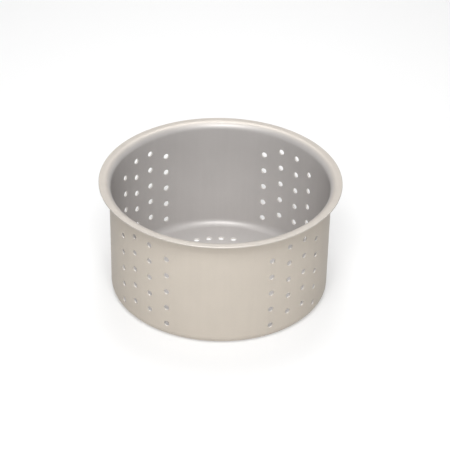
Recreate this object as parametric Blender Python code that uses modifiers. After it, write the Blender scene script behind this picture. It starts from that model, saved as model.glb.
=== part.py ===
"""Cheese mold: a one-piece pan drawn from aluminium sheet, with drain holes.

The pan stands on the XY plane with its base underside at z = 0, centred on the Z axis. It has a flat
base, a rounded base corner, a straight round wall that leans out a little so that the cheese comes
free, and a flat flange that bends outward at the rim. The wall carries four groups of holes, and the
base carries a group between each two wall groups.

Run with: blender --background --python part.py
"""

import math

import bmesh
import bpy
from mathutils import Matrix, Vector

# ---------------------------------------------------------------- driving dimensions, in metres
HEIGHT = 0.100
WALL_TOP_RADIUS = 0.0900  # outside of the wall, carried up to the rim's height
WALL_BASE_RADIUS = 0.0886  # outside of the wall, carried down to the base's underside
FLANGE_RADIUS = 0.0986  # outer edge of the flange
SHEET = 0.0012

BASE_CORNER_RADIUS = 0.0075  # outside of the corner between base and wall
FLANGE_BEND_RADIUS = 0.0060  # top surface of the bend between wall and flange

HOLE_DIAMETER = 0.0046
ROW_PITCH = 0.0155
ROWS = 5
COLUMNS = 4
COLUMN_PITCH = math.radians(10.5)
OUTER_COLUMN_TOP = 0.075  # height of the top hole in a group's first and last columns
INNER_COLUMN_TOP = OUTER_COLUMN_TOP + ROW_PITCH / 2
# Directions of the four wall groups about Z, from +X. The real ones are set out a little unevenly, so
# these aren't exactly a quarter turn apart.
GROUP_ANGLES = [math.radians(a) for a in (50, 137, 226.5, 313.8)]

# Each base group narrows towards the centre: its arcs as (radius, number of holes).
BASE_ARCS = [(0.0645, 4), (0.052, 3), (0.0395, 2)]
BASE_HOLE_SPACING = 0.0105  # between neighbouring holes, along each arc

WALL_LEAN = math.atan2(WALL_TOP_RADIUS - WALL_BASE_RADIUS, HEIGHT)

# ---------------------------------------------------------------- mesh fineness
TURN_STEPS = 72
CORNER_STEPS = 4
BEND_STEPS = 4
HOLE_SIDES = 8

CUTTER_MARGIN = 0.003  # how far a hole cutter stands out of the sheet on each side
MERGE_DISTANCE = 0.00001
SHARP_ANGLE = math.radians(35)

MOLD_NAME = "mold_body"
ALUMINIUM_COLOUR = (0.53, 0.50, 0.46, 1.0)
ALUMINIUM_ROUGHNESS = 0.45
ALUMINIUM_METALLIC = 0.9


def clear_scene():
    for item in list(bpy.data.objects):
        bpy.data.objects.remove(item)


def make_collection(name):
    collection = bpy.data.collections.new(name)
    bpy.context.scene.collection.children.link(collection)
    return collection


def arc(centre, radius, start, end, steps):
    """Points (radius, height) along an arc, from angle start to angle end, both ends included."""
    turn = [start + (end - start) * i / steps for i in range(steps + 1)]
    return [(centre[0] + radius * math.cos(a), centre[1] + radius * math.sin(a)) for a in turn]


def wall_radius(height):
    """Outside of the leaning wall."""
    return WALL_BASE_RADIUS + height * math.tan(WALL_LEAN)


def outer_profile():
    """The pan's outer skin as (radius, height), from the flange's edge down to the base's centre.

    Both arcs touch the leaning wall, so their centres lie a radius away from it, square to it.
    """
    bend_outside = FLANGE_BEND_RADIUS - SHEET
    bend_height = HEIGHT - FLANGE_BEND_RADIUS
    bend_centre = (wall_radius(bend_height) + bend_outside / math.cos(WALL_LEAN), bend_height)
    corner_height = BASE_CORNER_RADIUS
    corner_centre = (wall_radius(corner_height) - BASE_CORNER_RADIUS / math.cos(WALL_LEAN), corner_height)

    flange_edge = [(FLANGE_RADIUS, HEIGHT - SHEET)]
    bend = arc(bend_centre, bend_outside, math.pi / 2, math.pi - WALL_LEAN, BEND_STEPS)
    corner = arc(corner_centre, BASE_CORNER_RADIUS, -WALL_LEAN, -math.pi / 2, CORNER_STEPS)
    return flange_edge + bend + corner + [(0, 0)]


def add_profile_object(name, points, collection):
    """An object whose mesh is an open line of edges in the XZ plane, at +X."""
    mesh = bpy.data.meshes.new(name)
    edges = [(i, i + 1) for i in range(len(points) - 1)]
    mesh.from_pydata([(r, 0, z) for r, z in points], edges, [])
    item = bpy.data.objects.new(name, mesh)
    collection.objects.link(item)
    return item


def turn_and_thicken(item):
    """Turns the profile about Z, and gives the outer skin the sheet's thickness on its inner side."""
    screw = item.modifiers.new("turn", "SCREW")
    screw.axis = "Z"
    screw.angle = 2 * math.pi
    screw.steps = TURN_STEPS
    screw.render_steps = TURN_STEPS
    screw.use_merge_vertices = True
    screw.merge_threshold = MERGE_DISTANCE

    thickness = item.modifiers.new("sheet", "SOLIDIFY")
    thickness.thickness = SHEET
    thickness.offset = -1
    thickness.use_even_offset = True


def wall_hole_axes():
    """Each wall hole as (point on the wall, outward direction)."""
    axes = []
    for group in GROUP_ANGLES:
        for column in range(COLUMNS):
            angle = group + (column - (COLUMNS - 1) / 2) * COLUMN_PITCH
            outward = Vector((math.cos(angle), math.sin(angle), 0))
            is_outer = column in (0, COLUMNS - 1)
            top = OUTER_COLUMN_TOP if is_outer else INNER_COLUMN_TOP
            for row in range(ROWS):
                height = top - row * ROW_PITCH
                point = outward * (wall_radius(height) - SHEET / 2)
                point.z = height
                axes.append((point, outward))
    return axes


def base_group_angles():
    """The directions half way between each two neighbouring wall groups."""
    following = GROUP_ANGLES[1:] + [GROUP_ANGLES[0] + 2 * math.pi]
    return [(a + b) / 2 for a, b in zip(GROUP_ANGLES, following)]


def base_hole_axes():
    """Each base hole as (point on the base, downward direction)."""
    axes = []
    for group in base_group_angles():
        for radius, count in BASE_ARCS:
            step = BASE_HOLE_SPACING / radius
            for i in range(count):
                angle = group + (i - (count - 1) / 2) * step
                point = Vector((radius * math.cos(angle), radius * math.sin(angle), SHEET / 2))
                axes.append((point, Vector((0, 0, -1))))
    return axes


def add_hole_cutter(name, axes, collection):
    """One object that holds a short round peg for each hole."""
    shapes = bmesh.new()
    for point, direction in axes:
        place = Matrix.Translation(point) @ direction.to_track_quat("Z", "X").to_matrix().to_4x4()
        bmesh.ops.create_cone(
            shapes,
            cap_ends=True,
            segments=HOLE_SIDES,
            radius1=HOLE_DIAMETER / 2,
            radius2=HOLE_DIAMETER / 2,
            depth=SHEET + 2 * CUTTER_MARGIN,
            matrix=place,
        )
    mesh = bpy.data.meshes.new(name)
    shapes.to_mesh(mesh)
    shapes.free()
    cutter = bpy.data.objects.new(name, mesh)
    collection.objects.link(cutter)
    cutter.hide_render = True
    cutter.display_type = "WIRE"
    return cutter


def cut(item, cutter):
    boolean = item.modifiers.new(cutter.name, "BOOLEAN")
    boolean.operation = "DIFFERENCE"
    boolean.solver = "EXACT"
    boolean.object = cutter


def aluminium():
    material = bpy.data.materials.new("matte_aluminium")
    material.use_nodes = True
    shader = material.node_tree.nodes["Principled BSDF"]
    shader.inputs["Base Color"].default_value = ALUMINIUM_COLOUR
    shader.inputs["Roughness"].default_value = ALUMINIUM_ROUGHNESS
    shader.inputs["Metallic"].default_value = ALUMINIUM_METALLIC
    return material


def make_pan(collection):
    """The pan without holes, as one mesh that is shaded smooth between its creases."""
    profile = add_profile_object("profile", outer_profile(), collection)
    turn_and_thicken(profile)
    evaluated = profile.evaluated_get(bpy.context.evaluated_depsgraph_get())
    mesh = bpy.data.meshes.new_from_object(evaluated)
    bpy.data.objects.remove(profile)
    mesh.name = MOLD_NAME
    mesh.shade_smooth()
    mesh.set_sharp_from_angle(angle=SHARP_ANGLE)
    body = bpy.data.objects.new(MOLD_NAME, mesh)
    collection.objects.link(body)
    return body


def make_mold_body(parts, cutters):
    body = make_pan(parts)
    body.data.materials.append(aluminium())
    cut(body, add_hole_cutter("wall_hole_cutter", wall_hole_axes(), cutters))
    cut(body, add_hole_cutter("base_hole_cutter", base_hole_axes(), cutters))
    return body


def main():
    clear_scene()
    parts = make_collection("cheese_mold")
    cutters = make_collection("cutters")
    make_mold_body(parts, cutters)


main()
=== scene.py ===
"""Cheese mold: the looks. A drawn aluminium pan with drain holes, on a pale floor in soft light.

The pan is one sheet with an outer and an inner skin. Its mesh is a grid of stations, which follow the
profile from base to rim, and lines, which run up the wall. A square block of the grid makes room for
each drain hole, and a patch joins the block's edge to the hole.
"""

import math

import bpy
from mathutils import Matrix, Vector
from mathutils.geometry import delaunay_2d_cdt


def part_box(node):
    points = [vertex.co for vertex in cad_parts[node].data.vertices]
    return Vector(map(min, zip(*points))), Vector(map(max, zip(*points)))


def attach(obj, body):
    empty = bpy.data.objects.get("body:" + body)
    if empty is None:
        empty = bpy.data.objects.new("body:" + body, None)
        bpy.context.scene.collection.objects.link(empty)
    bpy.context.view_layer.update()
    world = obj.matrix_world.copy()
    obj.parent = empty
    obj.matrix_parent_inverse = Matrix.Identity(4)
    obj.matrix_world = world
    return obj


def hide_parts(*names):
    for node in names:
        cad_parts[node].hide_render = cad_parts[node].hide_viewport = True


MM = 0.001
TURN = 2 * math.pi

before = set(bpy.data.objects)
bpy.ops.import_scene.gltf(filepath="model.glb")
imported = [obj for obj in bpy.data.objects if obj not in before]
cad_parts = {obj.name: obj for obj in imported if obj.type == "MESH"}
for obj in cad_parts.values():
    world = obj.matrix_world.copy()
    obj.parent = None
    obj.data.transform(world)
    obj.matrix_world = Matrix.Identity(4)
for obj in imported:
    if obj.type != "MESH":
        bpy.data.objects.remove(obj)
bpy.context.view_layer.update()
NODE = "mold_body"
PIECE = "mold_sheet"
_, node_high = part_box(NODE)

# ---------------------------------------------------------------- the pan's measures, in metres
HEIGHT = node_high.z
FLANGE_RADIUS = node_high.x
WALL_TOP_RADIUS = 90 * MM  # outside of the wall, carried up to the rim's height
WALL_BASE_RADIUS = 88.6 * MM  # outside of the wall, carried down to the base's underside
WALL_LEAN = math.atan2(WALL_TOP_RADIUS - WALL_BASE_RADIUS, HEIGHT)
SHEET = 1.2 * MM
BASE_CORNER_RADIUS = 7.5 * MM  # outside of the corner between base and wall
FLANGE_BEND_RADIUS = 6 * MM  # top surface of the bend between wall and flange
FLANGE_EDGE_ROUNDING = 0.4 * MM

HOLE_RADIUS = 2.3 * MM
ROW_PITCH = 15.5 * MM
ROWS = 5
COLUMNS = 4
COLUMN_PITCH = math.radians(10.5)
OUTER_COLUMN_TOP = 75 * MM  # height of the top hole in a group's first and last columns
GROUP_ANGLES = [math.radians(a) for a in (50, 137, 226.5, 313.8)]  # directions of the wall groups
BASE_ARCS = [(64.5 * MM, 4), (52 * MM, 3), (39.5 * MM, 2)]  # a base group's arcs as (radius, holes)
BASE_HOLE_SPACING = 10.5 * MM

# A punch rolls the sheet's edge over on the outside of a hole, and leaves a small break inside.
HOLE_ROLLOVER = 0.25 * MM
HOLE_BREAK = 0.12 * MM

# The rim of a spun pan is never a true circle. It stands off one by two waves and three waves a turn.
WOBBLE = 0.12 * MM
TWO_WAVES = 0.7
TWO_WAVES_START = 0.7
THREE_WAVES = 0.3
THREE_WAVES_START = 2.1

# ---------------------------------------------------------------- mesh fineness
CELLS_PER_PITCH = 12  # grid cells from one hole to the next, round the wall and up it
BLOCK = 3  # cells on each side of a hole that its patch takes
HOLE_SIDES = 8 * BLOCK  # one for each grid point on the block's edge
PATCH_SHARES = (0, 0.3, 1)  # how far a patch's rings lie from the hole towards the block's edge
GAP_STEP = math.radians(2.1)  # between lines where there are no holes
ARC_STEPS = 10
EDGE_STEPS = 4  # of each quarter circle on the flange's edge
ROLLOVER_STEPS = 4
BREAK_STEPS = 2
FLAT_STEPS = 3  # across the flange's flat ring
PLAIN_STEP = 1.9 * MM  # between stations above the holes
SUPPORT = 0.06 * MM  # how close a ring of points holds a smooth face flat beside a rounded edge
BASE_POINT_SPACING = 4 * MM
BASE_HOLE_COLLAR = 1.6 * MM  # width of the even ring of triangles round a base hole
BASE_HOLE_CLEARANCE = 2.56 * MM  # from a base hole to the nearest of the evenly spaced points
INSIDE_HOLE = 0.99  # a triangle whose middle is nearer than this share of the edge's radius fills a hole
TRIANGULATION_TOLERANCE = 1e-6

# The rings of points round a base hole: its edge, a support ring and a collar.
BASE_RINGS = (
    HOLE_RADIUS + HOLE_ROLLOVER,
    HOLE_RADIUS + HOLE_ROLLOVER + SUPPORT,
    HOLE_RADIUS + BASE_HOLE_COLLAR,
)

OUTER, INNER = 1, -1  # the sheet's two skins

# ---------------------------------------------------------------- the metal's looks
METALLIC = 0.28
REFRACTION = 1.35
SPECULAR_LEVEL = 0.15
GRAZING_TINT = (0.5, 0.5, 0.5, 1)
ROUGHNESS = 0.45
# Painted light: the outside colour is warmer because it stands in for warm front light, and the inside
# colour stands in for cooler light from above.
OUTSIDE_PAINTED_WARM_LIGHT = (0.513, 0.464, 0.404, 1)
INSIDE_PAINTED_COOL_LIGHT = (0.49, 0.47, 0.458, 1)

# The flange's top takes this share of the outside's painted warm light, over this share of its width from
# the wall.
FLANGE_WARM_LIGHT_SHARE = 0.6
WARM_LIGHT_FADE_WIDTH = 1 / 3

# Worn raw metal at the holes and the flange's edge, brightened further into a painted glint on the hole lips
# and the flange's edge.
WORN_AND_GLINT_COLOUR = (0.85, 0.83, 0.80, 1)
WEAR_SMOOTHING = 0.12  # how much the roughness drops on fully worn metal
HOLE_WEAR_AND_GLINT = 0.7
FLANGE_WEAR_AND_GLINT = 0.1

# Each kind of mark: its size and detail, then how much it changes the tone, roughness and height.
TURNING_MARK = 0.7 * MM
TURNING_DETAIL = 3
TURNING_ROUGHNESS = 0.03
TURNING_BUMP = 0.25
TURNING_DEPTH = 0.02 * MM
DRAWING_MARK = 5 * MM
DRAWING_DETAIL = 3
DRAWING_STRETCH = 0.06  # how fast a drawing mark changes up the wall, against round it
DRAWING_TONE = 0.012
GRAIN = 0.35 * MM
GRAIN_DETAIL = 2
GRAIN_TONE = 0.03
GRAIN_BUMP = 0.4
GRAIN_DEPTH = 0.03 * MM
CLOUD = 22 * MM
CLOUD_DETAIL = 4
CLOUD_TONE = 0.02
CLOUD_ROUGHNESS = 0.03
NOISE_LOW, NOISE_HIGH = 0.3, 0.7  # the usual range of a noise

# ---------------------------------------------------------------- the stage, the lights and the camera
STAGE_RADIUS = 2.2
STAGE_SIDES = 96
STAGE_ROUGHNESS = 0.9
FLOOR_COLOUR = (0.54, 0.54, 0.54, 1)
FLOOR_GLOW = 0.7
SCREEN_HEIGHT = 0.4
SCREEN_COLOUR = (0.6, 0.6, 0.6, 1)
SCREEN_GLOW = 0.75
WORLD_COLOUR = (1, 1, 1, 1)
WORLD_STRENGTH = 0.03

CAMERA_DISTANCE = 2.1568
CAMERA_ELEVATION = math.radians(34.35)
CAMERA_PITCH = math.radians(33.086)
CAMERA_YAW = math.radians(0.114)
CAMERA_ROLL = math.radians(-0.99)
CAMERA_LENS = 208.2
SENSOR_WIDTH = 36


def following_groups():
    """Each wall group's angle with the next group's."""
    return zip(GROUP_ANGLES, GROUP_ANGLES[1:] + [GROUP_ANGLES[0] + TURN])


def group_lines():
    """The directions of the grid's upright lines, and the lines that the wall's columns stand on."""
    fine = COLUMN_PITCH / CELLS_PER_PITCH
    half = (COLUMNS - 1) * CELLS_PER_PITCH // 2 + BLOCK
    angles, columns = [], []
    for group, following_group in following_groups():
        first = len(angles)
        columns.append([first + BLOCK + c * CELLS_PER_PITCH for c in range(COLUMNS)])
        angles += [group + (i - half) * fine for i in range(2 * half)]
        start, end = group + half * fine, following_group - half * fine
        steps = round((end - start) / GAP_STEP)
        angles += [start + (end - start) * i / steps for i in range(steps)]
    return angles, columns


def arc(centre, radius, start, end, steps):
    """(radius, height, normal's radius, normal's height) along an arc of the profile, both ends included."""
    found = []
    for i in range(steps + 1):
        a = start + (end - start) * i / steps
        n = (math.cos(a), math.sin(a))
        found.append((centre[0] + radius * n[0], centre[1] + radius * n[1], *n))
    return found


def wall_radius(height):
    """Outside of the wall, which leans out."""
    return WALL_BASE_RADIUS + height * math.tan(WALL_LEAN)


def profile():
    """Stations on the middle of the sheet, from the base's edge to the flange's, and the first hole row's.

    Each station is (radius, height, normal's radius, normal's height), where the normal points out of
    the outer skin.
    """
    slope = math.cos(WALL_LEAN)
    corner_centre = (wall_radius(BASE_CORNER_RADIUS) - BASE_CORNER_RADIUS / slope, BASE_CORNER_RADIUS)
    corner_radius = BASE_CORNER_RADIUS - SHEET / 2
    corner = arc(corner_centre, corner_radius, -math.pi / 2, -WALL_LEAN, ARC_STEPS)

    cell = ROW_PITCH / CELLS_PER_PITCH
    lowest_hole = OUTER_COLUMN_TOP - (ROWS - 1) * ROW_PITCH
    first = lowest_hole - BLOCK * cell
    rows = (ROWS - 1) * CELLS_PER_PITCH + CELLS_PER_PITCH // 2 + 2 * BLOCK
    heights = [first + i * cell for i in range(rows + 1)]
    bend_start = HEIGHT - FLANGE_BEND_RADIUS
    plain = round((bend_start - heights[-1]) / PLAIN_STEP)
    heights += [heights[-1] + (bend_start - heights[-1]) * i / plain for i in range(1, plain)]
    wall = [(wall_radius(z) - SHEET / 2 / slope, z, slope, -math.sin(WALL_LEAN)) for z in heights]

    bend_centre = (wall_radius(bend_start) + (FLANGE_BEND_RADIUS - SHEET) / slope, bend_start)
    bend_radius = FLANGE_BEND_RADIUS - SHEET / 2
    bend = [
        (r, z, -nr, -nz)
        for r, z, nr, nz in arc(bend_centre, bend_radius, math.pi - WALL_LEAN, math.pi / 2, ARC_STEPS)
    ]
    flat_start = bend_centre[0]
    flat_end = FLANGE_RADIUS - WOBBLE - FLANGE_EDGE_ROUNDING
    radii = [flat_start + (flat_end - flat_start) * i / FLAT_STEPS for i in range(1, FLAT_STEPS)]
    radii += [flat_end - SUPPORT, flat_end]
    flange = [(r, HEIGHT - SHEET / 2, 0, -1) for r in radii]

    first_hole_station = len(corner) + BLOCK
    return corner + wall + bend + flange, first_hole_station


LINE_ANGLES, COLUMN_LINES = group_lines()
STATIONS, FIRST_HOLE_STATION = profile()


def wobble(angle, height):
    """How far the wall stands off a true circle, most at the rim and never more than WOBBLE."""
    two = TWO_WAVES * math.sin(2 * angle + TWO_WAVES_START)
    three = THREE_WAVES * math.sin(3 * angle + THREE_WAVES_START)
    return WOBBLE * (height / HEIGHT) * (two + three)


def polar(radius, angle, height):
    r = radius + wobble(angle, height)
    return (r * math.cos(angle), r * math.sin(angle), height)


def warm_light_share(side, radius):
    """The share of painted warm light: 1 on the outer skin, 0 inside the pan, and between them on the
    flange's top.
    """
    if side == OUTER:
        return 1.0
    share = (radius - WALL_TOP_RADIUS) / (FLANGE_RADIUS - WALL_TOP_RADIUS)
    return FLANGE_WARM_LIGHT_SHARE * min(1, max(0, share / WARM_LIGHT_FADE_WIDTH))


class Sheet:
    """The pan's mesh. Vertices have names, so that neighbouring patches share them."""

    def __init__(self):
        self.points = []
        self.wear_and_glint = []
        self.outside = []
        self.number = {}
        self.faces = []

    def vertex(self, name, point, outside, wear_and_glint=0.0):
        """The vertex of that name, made on its first use. Outside is the share of painted warm light, 1 on
        the outer skin and 0 inside.
        """
        if name not in self.number:
            self.number[name] = len(self.points)
            self.points.append(point)
            self.outside.append(outside)
            self.wear_and_glint.append(wear_and_glint)
        return self.number[name]

    def grid_vertex(self, side, line, station):
        line %= len(LINE_ANGLES)
        r, z, normal_r, normal_z = STATIONS[station]
        off = side * SHEET / 2
        point = polar(r + off * normal_r, LINE_ANGLES[line], z + off * normal_z)
        return self.vertex((side, line, station), point, warm_light_share(side, r))

    def face(self, vertices, side):
        """A face whose vertices run anticlockwise seen from outside, turned over for the inner skin."""
        self.faces.append(vertices if side == OUTER else vertices[::-1])

    def strip(self, ring_a, ring_b, side):
        """Quads between two closed rings of vertices."""
        count = len(ring_a)
        for k in range(count):
            following = (k + 1) % count
            self.face((ring_a[k], ring_a[following], ring_b[following], ring_b[k]), side)


def wall_holes():
    """Each wall hole as its (line, station) in the grid."""
    for columns in COLUMN_LINES:
        for column, line in enumerate(columns):
            raised = CELLS_PER_PITCH // 2 if 0 < column < COLUMNS - 1 else 0
            for row in range(ROWS):
                yield line, FIRST_HOLE_STATION + raised + row * CELLS_PER_PITCH


def add_grid(sheet):
    """Both skins from the base's edge to the flange's, without the blocks that hold holes."""
    blocks = set()
    for line, station in wall_holes():
        for i in range(-BLOCK, BLOCK):
            for j in range(-BLOCK, BLOCK):
                blocks.add((line + i, station + j))
    for line in range(len(LINE_ANGLES)):
        for station in range(len(STATIONS) - 1):
            if (line, station) in blocks:
                continue
            for side in (OUTER, INNER):
                corners = [(0, 0), (1, 0), (1, 1), (0, 1)]
                face = [sheet.grid_vertex(side, line + i, station + j) for i, j in corners]
                sheet.face(face, side)


def rounded_edge(radius, steps):
    """(distance beyond the hole's radius, depth) along a quarter circle from a skin into the hole."""
    found = []
    for i in range(steps + 1):
        a = math.pi / 2 * i / steps
        found.append((radius * (1 - math.sin(a)), radius * (1 - math.cos(a))))
    return found


def hole_rings():
    """The hole's wall as (radius, depth below the outer skin), from the outer skin to the inner one."""
    rollover = rounded_edge(HOLE_ROLLOVER, ROLLOVER_STEPS)
    outer = [(HOLE_RADIUS + beyond, depth) for beyond, depth in rollover]
    small_break = rounded_edge(HOLE_BREAK, BREAK_STEPS)
    inner = [(HOLE_RADIUS + beyond, SHEET - depth) for beyond, depth in small_break]
    return outer + inner[::-1]


def hole_directions():
    """One direction for each grid point on a block's edge, anticlockwise from its lower left corner."""
    return [math.radians(-135) + TURN * k / HOLE_SIDES for k in range(HOLE_SIDES)]


def block_edge():
    """The block's edge as (lines, stations) from its centre, in the order of hole_directions."""
    run = range(2 * BLOCK)
    return (
        [(-BLOCK + i, -BLOCK) for i in run]
        + [(BLOCK, -BLOCK + i) for i in run]
        + [(BLOCK - i, BLOCK) for i in run]
        + [(-BLOCK, BLOCK - i) for i in run]
    )


def add_hole_wall(sheet, name, place):
    """The hole's own wall, more worn and with more painted glint towards the inside, and less painted warm
    light there. Returns its rings at the outer and inner skins.

    place(x, y, depth) gives a point, where x is to the right and y is up, seen from outside the pan.
    """
    rings = []
    for level, (radius, depth) in enumerate(hole_rings()):
        inward = depth / SHEET
        ring = []
        for k, a in enumerate(hole_directions()):
            point = place(radius * math.cos(a), radius * math.sin(a), depth)
            # painted warm light fades, and worn brightness with a painted glint grows, towards the inner
            # skin
            ring.append(sheet.vertex((name, "wall", level, k), point, 1 - inward, HOLE_WEAR_AND_GLINT * inward))
        rings.append(ring)
    for ring_a, ring_b in zip(rings, rings[1:]):
        sheet.strip(ring_a, ring_b, OUTER)
    return rings[0], rings[-1]


def add_wall_hole(sheet, line, station):
    """A hole through the wall, and the patches that join it to the grid on both skins."""
    centre_angle = LINE_ANGLES[line]
    centre_height = STATIONS[station][1]

    def place(x, y, depth):
        radius = wall_radius(centre_height + y) - depth / math.cos(WALL_LEAN)
        return polar(radius, centre_angle + math.asin(x / radius), centre_height + y)

    name = ("wall_hole", line, station)
    outer_ring, inner_ring = add_hole_wall(sheet, name, place)
    cell_width = wall_radius(centre_height) * COLUMN_PITCH / CELLS_PER_PITCH
    cell_height = ROW_PITCH / CELLS_PER_PITCH
    for side, ring, edge_radius, depth in (
        (OUTER, outer_ring, HOLE_RADIUS + HOLE_ROLLOVER, 0),
        (INNER, inner_ring, HOLE_RADIUS + HOLE_BREAK, SHEET),
    ):
        near = edge_radius + SUPPORT
        for level, share in enumerate(PATCH_SHARES):
            following = []
            for k, (a, (i, j)) in enumerate(zip(hole_directions(), block_edge())):
                if level == len(PATCH_SHARES) - 1:
                    following.append(sheet.grid_vertex(side, line + i, station + j))
                    continue
                x = near * math.cos(a) * (1 - share) + i * cell_width * share
                y = near * math.sin(a) * (1 - share) + j * cell_height * share
                vertex = sheet.vertex((name, side, level, k), place(x, y, depth), float(side == OUTER))
                following.append(vertex)
            sheet.strip(following, ring, side)
            ring = following


def base_holes():
    """Each base hole's centre (x, y). A group lies half way between each two wall groups."""
    for group, following_group in following_groups():
        middle = (group + following_group) / 2
        for radius, count in BASE_ARCS:
            step = BASE_HOLE_SPACING / radius
            for i in range(count):
                angle = middle + (i - (count - 1) / 2) * step
                yield radius * math.cos(angle), radius * math.sin(angle)


def fill_points(holes, edge_radius):
    """Evenly spaced points on rings about the base's centre, clear of the holes."""
    rings = int((edge_radius - BASE_POINT_SPACING / 2) / BASE_POINT_SPACING)
    for ring in range(rings + 1):
        radius = ring * BASE_POINT_SPACING
        count = max(1, round(TURN * radius / BASE_POINT_SPACING))
        for k in range(count):
            a = TURN * (k + 0.5 * (ring % 2)) / count
            point = (radius * math.cos(a), radius * math.sin(a))
            if all(math.dist(point, hole) > HOLE_RADIUS + BASE_HOLE_CLEARANCE for hole in holes):
                yield point


def base_vertex(sheet, side, name, point, ends):
    """The vertex of one skin of the base at a point of its triangulation."""
    if name[0] == "edge":
        return sheet.grid_vertex(side, name[1], 0)
    if name[0] == "hole" and name[2] == 0:
        outer_ring, inner_ring = ends[name[1]]
        return (outer_ring if side == OUTER else inner_ring)[name[3]]
    height = 0 if side == OUTER else SHEET
    return sheet.vertex((side, *name), (point[0], point[1], height), float(side == OUTER))


def add_base(sheet):
    """The flat base: one triangulation of the disc round the holes, used for both skins."""
    holes = list(base_holes())
    edge_radius = STATIONS[0][0]
    points = [(edge_radius * math.cos(a), edge_radius * math.sin(a)) for a in LINE_ANGLES]
    names = [("edge", line) for line in range(len(points))]
    loops = [range(len(points))]
    ends = []
    for number, (x, y) in enumerate(holes):

        def place(u, v, depth, x=x, y=y):
            # the base is seen from below, where its Y axis points down
            return (x + u, y - v, depth)

        ends.append(add_hole_wall(sheet, ("base_hole", number), place))
        loops.append(range(len(points), len(points) + HOLE_SIDES))
        for ring, radius in enumerate(BASE_RINGS):
            for k, a in enumerate(hole_directions()):
                points.append(place(radius * math.cos(a), radius * math.sin(a), 0)[:2])
                names.append(("hole", number, ring, k))
    for point in fill_points(holes, edge_radius):
        names.append(("fill", len(points)))
        points.append(point)

    edges = [(loop[k - 1], loop[k]) for loop in loops for k in range(len(loop))]
    # worked in millimetres, which suits the triangulation's tolerance
    flat = [Vector((x / MM, y / MM)) for x, y in points]
    made, _, faces, sources, _, _ = delaunay_2d_cdt(flat, edges, [], 0, TRIANGULATION_TOLERANCE)
    for face in faces:
        middle = sum((made[i] for i in face), Vector((0, 0))) / len(face) * MM
        if any(math.dist(middle, hole) < BASE_RINGS[0] * INSIDE_HOLE for hole in holes):
            continue
        corners = [sources[i][0] for i in face]
        for side in (OUTER, INNER):
            found = [base_vertex(sheet, side, names[i], points[i], ends) for i in corners]
            # the triangles run anticlockwise from above, and the base's outer skin faces down
            sheet.face(found[::-1], side)


def add_flange_edge(sheet):
    """The rounded edge that joins the two skins at the flange."""
    last = len(STATIONS) - 1
    middle_radius, middle_height = STATIONS[last][:2]
    half = SHEET / 2 - FLANGE_EDGE_ROUNDING
    quarter = math.pi / 2
    lower = arc((middle_radius, middle_height - half), FLANGE_EDGE_ROUNDING, -quarter, 0, EDGE_STEPS)[1:]
    upper = arc((middle_radius, middle_height + half), FLANGE_EDGE_ROUNDING, 0, quarter, EDGE_STEPS)[:-1]
    rings = [[sheet.grid_vertex(OUTER, line, last) for line in range(len(LINE_ANGLES))]]
    for level, (r, z, _, _) in enumerate(lower + upper):
        # the flange's edge takes part of the painted warm light, and a little wear with a painted glint
        ring = [
            sheet.vertex(("flange_edge", level, k), polar(r, a, z), FLANGE_WARM_LIGHT_SHARE, FLANGE_WEAR_AND_GLINT)
            for k, a in enumerate(LINE_ANGLES)
        ]
        rings.append(ring)
    rings.append([sheet.grid_vertex(INNER, line, last) for line in range(len(LINE_ANGLES))])
    for ring_a, ring_b in zip(rings, rings[1:]):
        sheet.strip(ring_a, ring_b, OUTER)


def make_mold():
    sheet = Sheet()
    add_grid(sheet)
    for line, station in wall_holes():
        add_wall_hole(sheet, line, station)
    add_base(sheet)
    add_flange_edge(sheet)
    mesh = bpy.data.meshes.new(PIECE)
    mesh.from_pydata(sheet.points, [], sheet.faces)
    mesh.validate()
    mesh.shade_smooth()
    for name, values in (("wear_and_glint", sheet.wear_and_glint), ("outside", sheet.outside)):
        mesh.attributes.new(name, "FLOAT", "POINT").data.foreach_set("value", values)
    mold = bpy.data.objects.new(PIECE, mesh)
    bpy.context.scene.collection.objects.link(mold)
    return mold


class Graph:
    """Adds shader nodes. Each input is a number, a colour or another node's output."""

    def __init__(self, material):
        self.nodes = material.node_tree.nodes
        self.links = material.node_tree.links

    def put(self, socket, value):
        if isinstance(value, bpy.types.NodeSocket):
            self.links.new(value, socket)
        else:
            socket.default_value = value

    def node(self, kind, inputs, **settings):
        made = self.nodes.new(kind)
        for name, value in settings.items():
            setattr(made, name, value)
        for key, value in inputs.items():
            self.put(made.inputs[key], value)
        return made

    def math(self, operation, a, b):
        return self.node("ShaderNodeMath", {0: a, 1: b}, operation=operation).outputs[0]

    def noise(self, vector, size, detail):
        """Soft noise about 0.5, with features about size across."""
        inputs = {"Vector": vector, "Scale": 1 / size, "Detail": detail}
        return self.node("ShaderNodeTexNoise", inputs).outputs["Fac"]

    def spread(self, noise, low, high):
        """Maps the usual range of a noise to low and high."""
        inputs = {
            "Value": noise,
            "From Min": NOISE_LOW,
            "From Max": NOISE_HIGH,
            "To Min": low,
            "To Max": high,
        }
        return self.node("ShaderNodeMapRange", inputs).outputs["Result"]

    def change_tone(self, noise, share):
        """A factor about 1 that the noise moves up and down by that share."""
        return self.spread(noise, 1 - share, 1 + share)

    def mix(self, share, a, b):
        # inputs 6 and 7 and output 2 are this node's colours
        made = self.node("ShaderNodeMix", {"Factor": share, 6: a, 7: b}, data_type="RGBA")
        return made.outputs[2]

    def scale_colour(self, colour, share):
        made = self.node("ShaderNodeVectorMath", {0: colour, "Scale": share}, operation="SCALE")
        return made.outputs[0]

    def attribute(self, name):
        return self.node("ShaderNodeAttribute", {}, attribute_name=name).outputs["Fac"]

    def bump(self, height, strength, depth, **others):
        inputs = {"Height": height, "Strength": strength, "Distance": depth, **others}
        return self.node("ShaderNodeBump", inputs).outputs[0]


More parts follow.
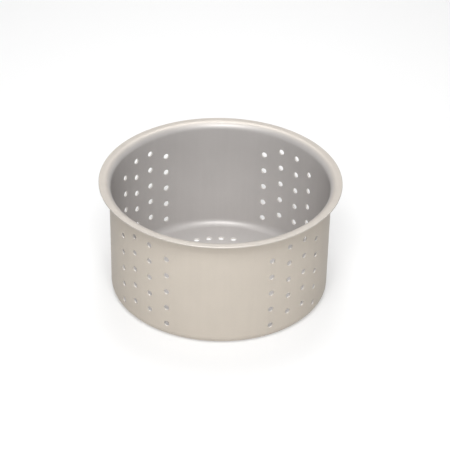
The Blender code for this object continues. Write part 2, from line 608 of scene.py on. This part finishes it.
def aluminium():
    """Matte aluminium: a fine blasted grain, turning marks round the pan and drawing marks up it.

    The outer skin takes a painted warm light that the inside lacks. The holes' and the flange's edges are
    worn brighter, with a painted glint on top.
    """
    material = bpy.data.materials.new("matte_aluminium")
    material.use_nodes = True
    graph = Graph(material)
    shader = graph.nodes["Principled BSDF"]
    shader.inputs["Metallic"].default_value = METALLIC
    shader.inputs["IOR"].default_value = REFRACTION
    shader.inputs["Specular IOR Level"].default_value = SPECULAR_LEVEL
    shader.inputs["Specular Tint"].default_value = GRAZING_TINT

    position = graph.node("ShaderNodeTexCoord", {}).outputs["Object"]
    axes = graph.node("ShaderNodeSeparateXYZ", {0: position}).outputs
    flat = graph.node("ShaderNodeCombineXYZ", {0: axes[0], 1: axes[1]}).outputs[0]
    radius = graph.node("ShaderNodeVectorMath", {0: flat}, operation="LENGTH").outputs["Value"]
    along_profile = graph.math("ADD", radius, axes[2])
    around = graph.math("MULTIPLY", graph.math("ARCTAN2", axes[1], axes[0]), WALL_TOP_RADIUS)

    # Turning marks keep their height as they run round the pan. Drawing marks keep their direction.
    turning_place = graph.node("ShaderNodeCombineXYZ", {0: along_profile}).outputs[0]
    turning = graph.noise(turning_place, TURNING_MARK, TURNING_DETAIL)
    slow_height = graph.math("MULTIPLY", axes[2], DRAWING_STRETCH)
    drawing_place = graph.node("ShaderNodeCombineXYZ", {0: around, 1: slow_height}).outputs[0]
    drawing = graph.noise(drawing_place, DRAWING_MARK, DRAWING_DETAIL)
    grain = graph.noise(position, GRAIN, GRAIN_DETAIL)
    cloud = graph.noise(position, CLOUD, CLOUD_DETAIL)

    # Worn edges are brightened, partly as a painted glint. The outer skin and the flange's top get a painted
    # warm light.
    wear_and_glint = graph.attribute("wear_and_glint")
    colour_and_painted_light = graph.mix(graph.attribute("outside"), INSIDE_PAINTED_COOL_LIGHT, OUTSIDE_PAINTED_WARM_LIGHT)
    slow_tone = graph.math(
        "MULTIPLY", graph.change_tone(cloud, CLOUD_TONE), graph.change_tone(drawing, DRAWING_TONE)
    )
    tone = graph.math("MULTIPLY", slow_tone, graph.change_tone(grain, GRAIN_TONE))
    colour = graph.mix(wear_and_glint, graph.scale_colour(colour_and_painted_light, tone), WORN_AND_GLINT_COLOUR)
    graph.put(shader.inputs["Base Color"], colour)

    roughness = graph.math("ADD", graph.spread(cloud, -CLOUD_ROUGHNESS, CLOUD_ROUGHNESS), ROUGHNESS)
    turned = graph.spread(turning, -TURNING_ROUGHNESS, TURNING_ROUGHNESS)
    roughness = graph.math("ADD", roughness, turned)
    smoothing = graph.math("MULTIPLY", wear_and_glint, WEAR_SMOOTHING)
    graph.put(shader.inputs["Roughness"], graph.math("SUBTRACT", roughness, smoothing))

    turning_bump = graph.bump(turning, TURNING_BUMP, TURNING_DEPTH)
    graph.put(shader.inputs["Normal"], graph.bump(grain, GRAIN_BUMP, GRAIN_DEPTH, Normal=turning_bump))
    return material


def add_stage_piece(name, colour, glow):
    """Names the newest object and gives it a plain matte material that glows in its own colour."""
    item = bpy.context.object
    item.name = name
    material = bpy.data.materials.new(name)
    material.use_nodes = True
    shader = material.node_tree.nodes["Principled BSDF"]
    shader.inputs["Base Color"].default_value = colour
    shader.inputs["Emission Color"].default_value = colour
    shader.inputs["Emission Strength"].default_value = glow
    shader.inputs["Roughness"].default_value = STAGE_ROUGHNESS
    item.data.materials.append(material)


def make_stage():
    """A round pale floor, and a low pale screen round its edge that low views look at."""
    bpy.ops.mesh.primitive_circle_add(vertices=STAGE_SIDES, radius=STAGE_RADIUS, fill_type="NGON")
    add_stage_piece("floor", FLOOR_COLOUR, FLOOR_GLOW)
    bpy.ops.mesh.primitive_cylinder_add(
        vertices=STAGE_SIDES,
        radius=STAGE_RADIUS,
        depth=SCREEN_HEIGHT,
        end_fill_type="NOTHING",
        location=(0, 0, SCREEN_HEIGHT / 2),
    )
    add_stage_piece("screen", SCREEN_COLOUR, SCREEN_GLOW)


def make_camera():
    """A long lens from the front, a third of the way up, rolled and turned a little off the axis."""
    position = Vector((0, -math.cos(CAMERA_ELEVATION), math.sin(CAMERA_ELEVATION))) * CAMERA_DISTANCE
    forward = Vector((0, math.cos(CAMERA_PITCH), -math.sin(CAMERA_PITCH)))
    right = Vector((1, 0, 0))
    down = forward.cross(right)
    turned = forward * math.cos(CAMERA_YAW) + right * math.sin(CAMERA_YAW)
    turned_right = right * math.cos(CAMERA_YAW) - forward * math.sin(CAMERA_YAW)
    rolled_right = turned_right * math.cos(CAMERA_ROLL) + down * math.sin(CAMERA_ROLL)
    rolled_down = down * math.cos(CAMERA_ROLL) - turned_right * math.sin(CAMERA_ROLL)

    data = bpy.data.cameras.new("camera")
    data.lens = CAMERA_LENS
    data.sensor_width = SENSOR_WIDTH
    camera = bpy.data.objects.new("camera", data)
    axes = Matrix((rolled_right, -rolled_down, -turned)).transposed()
    camera.matrix_world = Matrix.Translation(position) @ axes.to_4x4()
    bpy.context.scene.collection.objects.link(camera)
    bpy.context.scene.camera = camera


def make_light(name, azimuth, elevation, distance, size, power, behind=0):
    """A square soft light that faces the pan, or a point that far behind it.

    Angles are in degrees, where azimuth 0 is at the camera's side and 90 at the right. Lengths are in
    metres and the power is in watts.
    """
    a, e = math.radians(azimuth), math.radians(elevation)
    away = Vector((math.sin(a) * math.cos(e), -math.cos(a) * math.cos(e), math.sin(e)))
    data = bpy.data.lights.new(name, "AREA")
    data.shape = "SQUARE"
    data.size = size
    data.energy = power
    light = bpy.data.objects.new(name, data)
    light.location = away * distance + Vector((0, behind, HEIGHT / 2))
    light.rotation_mode = "QUATERNION"
    light.rotation_quaternion = away.to_track_quat("Z", "Y")
    bpy.context.scene.collection.objects.link(light)


def make_world():
    world = bpy.data.worlds.new("world")
    bpy.context.scene.world = world
    world.use_nodes = True
    background = world.node_tree.nodes["Background"]
    background.inputs["Color"].default_value = WORLD_COLOUR
    background.inputs["Strength"].default_value = WORLD_STRENGTH


mold = make_mold()
mold.data.materials.append(aluminium())
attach(mold, "root")
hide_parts(NODE)

make_stage()
make_world()
make_light("front", azimuth=-1, elevation=37, distance=2.0, size=1.2, power=20)
make_light("key", azimuth=-4, elevation=57, distance=1.0, size=0.4, power=6.7)
make_light("top", azimuth=0, elevation=85, distance=0.8, size=0.3, power=1.9, behind=0.25)
make_light("rear", azimuth=180, elevation=80, distance=0.8, size=0.5, power=3.4, behind=0.35)
make_camera()
bpy.context.scene.view_settings.view_transform = "Standard"
